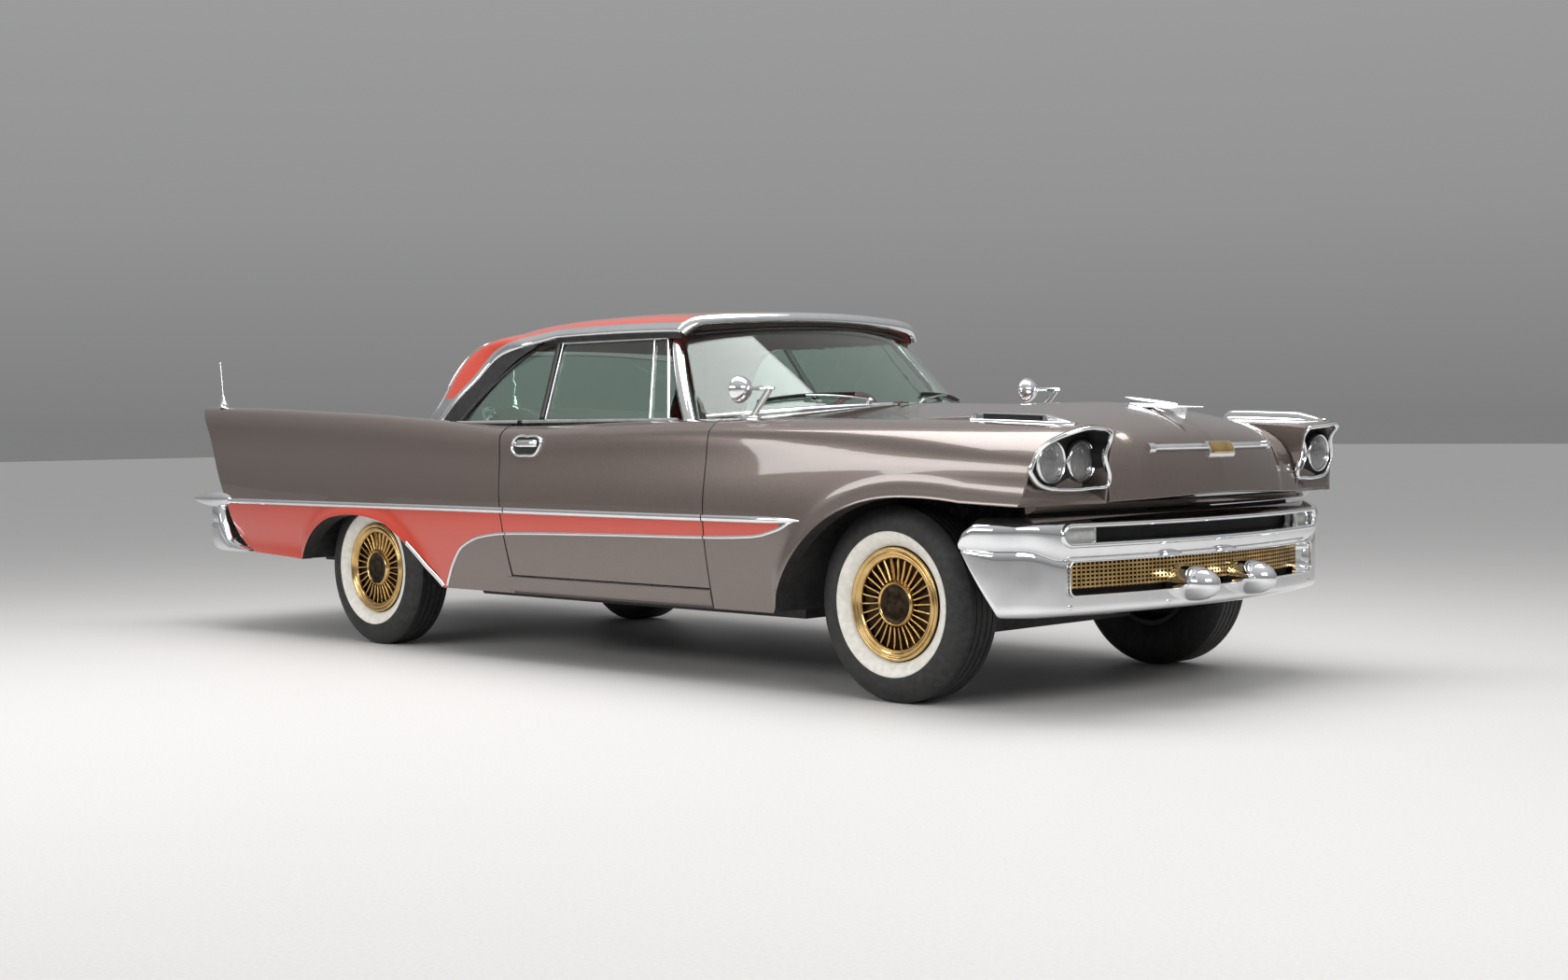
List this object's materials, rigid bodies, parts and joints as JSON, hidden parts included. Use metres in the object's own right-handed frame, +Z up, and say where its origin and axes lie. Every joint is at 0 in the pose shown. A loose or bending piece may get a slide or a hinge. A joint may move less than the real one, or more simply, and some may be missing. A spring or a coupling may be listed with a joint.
{
  "type": "classic car",
  "caption": "Full-size two-door hardtop of the late 1950s with tail fins, wraparound glass, chrome bumpers, steered and rolling wheels, opening doors, hood and trunk.",
  "frame": {"origin": "on the ground under the middle of the car's bounding box", "axes": "+X ahead, +Y to the car's left, +Z up"},
  "size_m": [5.5518, 2.016, 1.4672],
  "materials": {
    "body_paint": "metallic taupe with clearcoat",
    "roof_paint": "coral red with clearcoat",
    "chrome": "polished plating",
    "gold": "gold anodised",
    "glass": "green tinted safety glass",
    "lamp_glass": "clear moulded glass",
    "red_lens": "red lens",
    "tyre": "black rubber with white band",
    "chassis": "black chassis paint",
    "floor_paint": "underbody paint and carpet",
    "cast": "painted casting",
    "steel": "bare steel",
    "dash_paint": "coral dashboard paint",
    "wheel_rim": "coral moulded plastic",
    "seat_cloth": "coral and pale woven seat cloth"
  },
  "bodies": {
    "body": {"front_fender_right": "body_paint", "front_fender_left": "body_paint", "quarter_panel_right": "body_paint", "quarter_panel_left": "body_paint", "cowl": "body_paint", "rear_deck": "body_paint", "rear_panel": "body_paint", "roof": "roof_paint", "windshield": "glass", "backlight": "glass", "quarter_glass_right": "glass", "quarter_glass_left": "glass", "floor_pan": "floor_paint", "frame": "chassis", "front_suspension": "chassis", "rear_axle": "cast", "leaf_springs": "steel", "engine": "cast", "driveshaft": "steel", "fuel_tank": "steel", "front_bumper": "chrome", "rear_bumper": "chrome", "grille": "gold", "headlamp_bezels": "chrome", "headlamps": "lamp_glass", "parking_lamps": "lamp_glass", "tail_lamps": "red_lens", "mirrors": "chrome", "antennas": "chrome", "dashboard": "dash_paint", "steering_column": "dash_paint", "front_seat": "seat_cloth", "rear_seat": "seat_cloth"},
    "hood": {"hood": "body_paint"},
    "trunk_lid": {"trunk_lid": "body_paint"},
    "door_right": {"door_right": "body_paint", "door_glass_right": "glass"},
    "door_left": {"door_left": "body_paint", "door_glass_left": "glass"},
    "knuckle_right": {"knuckle_right": "cast"},
    "knuckle_left": {"knuckle_left": "cast"},
    "steering_wheel": {"steering_wheel": "wheel_rim"},
    "wheel_front_right": {"wheel_front_right": "gold", "tyre_front_right": "tyre"},
    "wheel_front_left": {"wheel_front_left": "gold", "tyre_front_left": "tyre"},
    "wheel_rear_right": {"wheel_rear_right": "gold", "tyre_rear_right": "tyre"},
    "wheel_rear_left": {"wheel_rear_left": "gold", "tyre_rear_left": "tyre"}
  },
  "joints": [
    {"name": "steer_right", "type": "hinge", "parent": "body", "child": "knuckle_right", "pos_m": [1.876, -0.69, 0.35], "axis": [0, 0, 1], "range_deg": [-30, 30]},
    {"name": "steer_left", "type": "hinge", "parent": "body", "child": "knuckle_left", "pos_m": [1.876, 0.69, 0.35], "axis": [0, 0, 1], "range_deg": [-30, 30]},
    {"name": "steering_wheel_turn", "type": "hinge", "parent": "body", "child": "steering_wheel", "pos_m": [0.558, 0.372, 0.904], "axis": [-0.9661, 0, 0.2581], "range_deg": [-480, 480]},
    {"name": "roll_front_right", "type": "hinge", "parent": "knuckle_right", "child": "wheel_front_right", "pos_m": [1.876, -0.7735, 0.35], "axis": [0, 1, 0], "continuous": true},
    {"name": "roll_front_left", "type": "hinge", "parent": "knuckle_left", "child": "wheel_front_left", "pos_m": [1.876, 0.7735, 0.35], "axis": [0, 1, 0], "continuous": true},
    {"name": "roll_rear_right", "type": "hinge", "parent": "body", "child": "wheel_rear_right", "pos_m": [-1.324, -0.758, 0.35], "axis": [0, 1, 0], "continuous": true},
    {"name": "roll_rear_left", "type": "hinge", "parent": "body", "child": "wheel_rear_left", "pos_m": [-1.324, 0.758, 0.35], "axis": [0, 1, 0], "continuous": true},
    {"name": "door_right_swing", "type": "hinge", "parent": "body", "child": "door_right", "pos_m": [1.043, -1.001, 0.64], "axis": [0, 0, 1], "range_deg": [0, 65]},
    {"name": "door_left_swing", "type": "hinge", "parent": "body", "child": "door_left", "pos_m": [1.043, 1.001, 0.64], "axis": [0, 0, -1], "range_deg": [0, 65]},
    {"name": "hood_lift", "type": "hinge", "parent": "body", "child": "hood", "pos_m": [1.319, 0, 1.066], "axis": [0, -1, 0], "range_deg": [0, 50]},
    {"name": "trunk_lift", "type": "hinge", "parent": "body", "child": "trunk_lid", "pos_m": [-1.341, 0, 1.015], "axis": [0, 1, 0], "range_deg": [0, 70]}
  ],
  "couplings": [
    {"joint": "steer_left", "follows": "steer_right", "ratio": 1},
    {"joint": "steering_wheel_turn", "follows": "steer_right", "ratio": 16}
  ]
}
